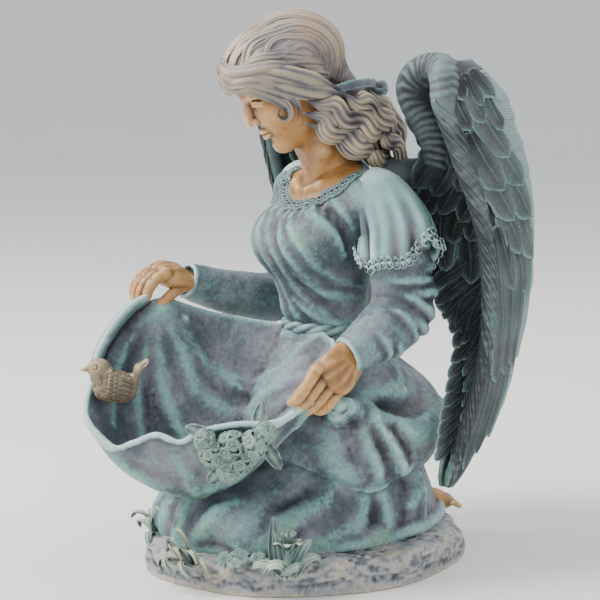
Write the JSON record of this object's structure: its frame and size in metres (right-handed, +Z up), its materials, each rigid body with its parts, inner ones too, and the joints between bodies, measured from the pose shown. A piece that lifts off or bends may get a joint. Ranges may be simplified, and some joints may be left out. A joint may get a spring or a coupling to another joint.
{
  "type": "resin angel figurine",
  "caption": "Kneeling angel garden statue in cast resin, holding its skirt out as a shallow basin with a bird on the hem, on a rock base, with a weathered bronze and verdigris finish.",
  "frame": {"origin": "centre of the base's flat underside, at the level the figurine stands on", "axes": "+Z up, -Y the way the figure faces and holds out its skirt, +X towards the figure's own left hand"},
  "size_m": [0.306, 0.3609, 0.4794],
  "materials": {
    "verdigris_paint": "painted, weathered verdigris over mauve grey",
    "wing_paint": "painted, dark verdigris with green tips",
    "bronze_paint": "painted, satin bronze with cream highlights",
    "hair_paint": "painted, greige with bronze tips",
    "stone_paint": "painted, matt stone with buff rubbed patches",
    "leaf_paint": "painted, matt sage green",
    "plain_resin": "unpainted",
    "peg_steel": "plain",
    "plug_rubber": "matt"
  },
  "bodies": {
    "root": {"base": "stone_paint", "base_plate": "plain_resin", "vent_plug": "plug_rubber", "lower_robe": "verdigris_paint", "overskirt": "verdigris_paint", "skirt_basin": "verdigris_paint", "sash": "verdigris_paint", "bodice": "verdigris_paint", "head": "bronze_paint", "hair": "hair_paint", "hair_ribbon": "verdigris_paint", "lace_collar": "verdigris_paint", "left_cap_sleeve": "verdigris_paint", "left_sleeve": "verdigris_paint", "left_hand": "bronze_paint", "left_wing": "wing_paint", "left_wing_peg": "peg_steel", "right_cap_sleeve": "verdigris_paint", "right_sleeve": "verdigris_paint", "right_hand": "bronze_paint", "right_wing": "wing_paint", "right_wing_peg": "peg_steel", "bird": "bronze_paint", "blossom_cluster": "leaf_paint", "lily": "leaf_paint", "clover_sprig": "leaf_paint", "front_grass": "leaf_paint", "back_grass": "leaf_paint", "bare_foot": "bronze_paint"}
  },
  "joints": []
}
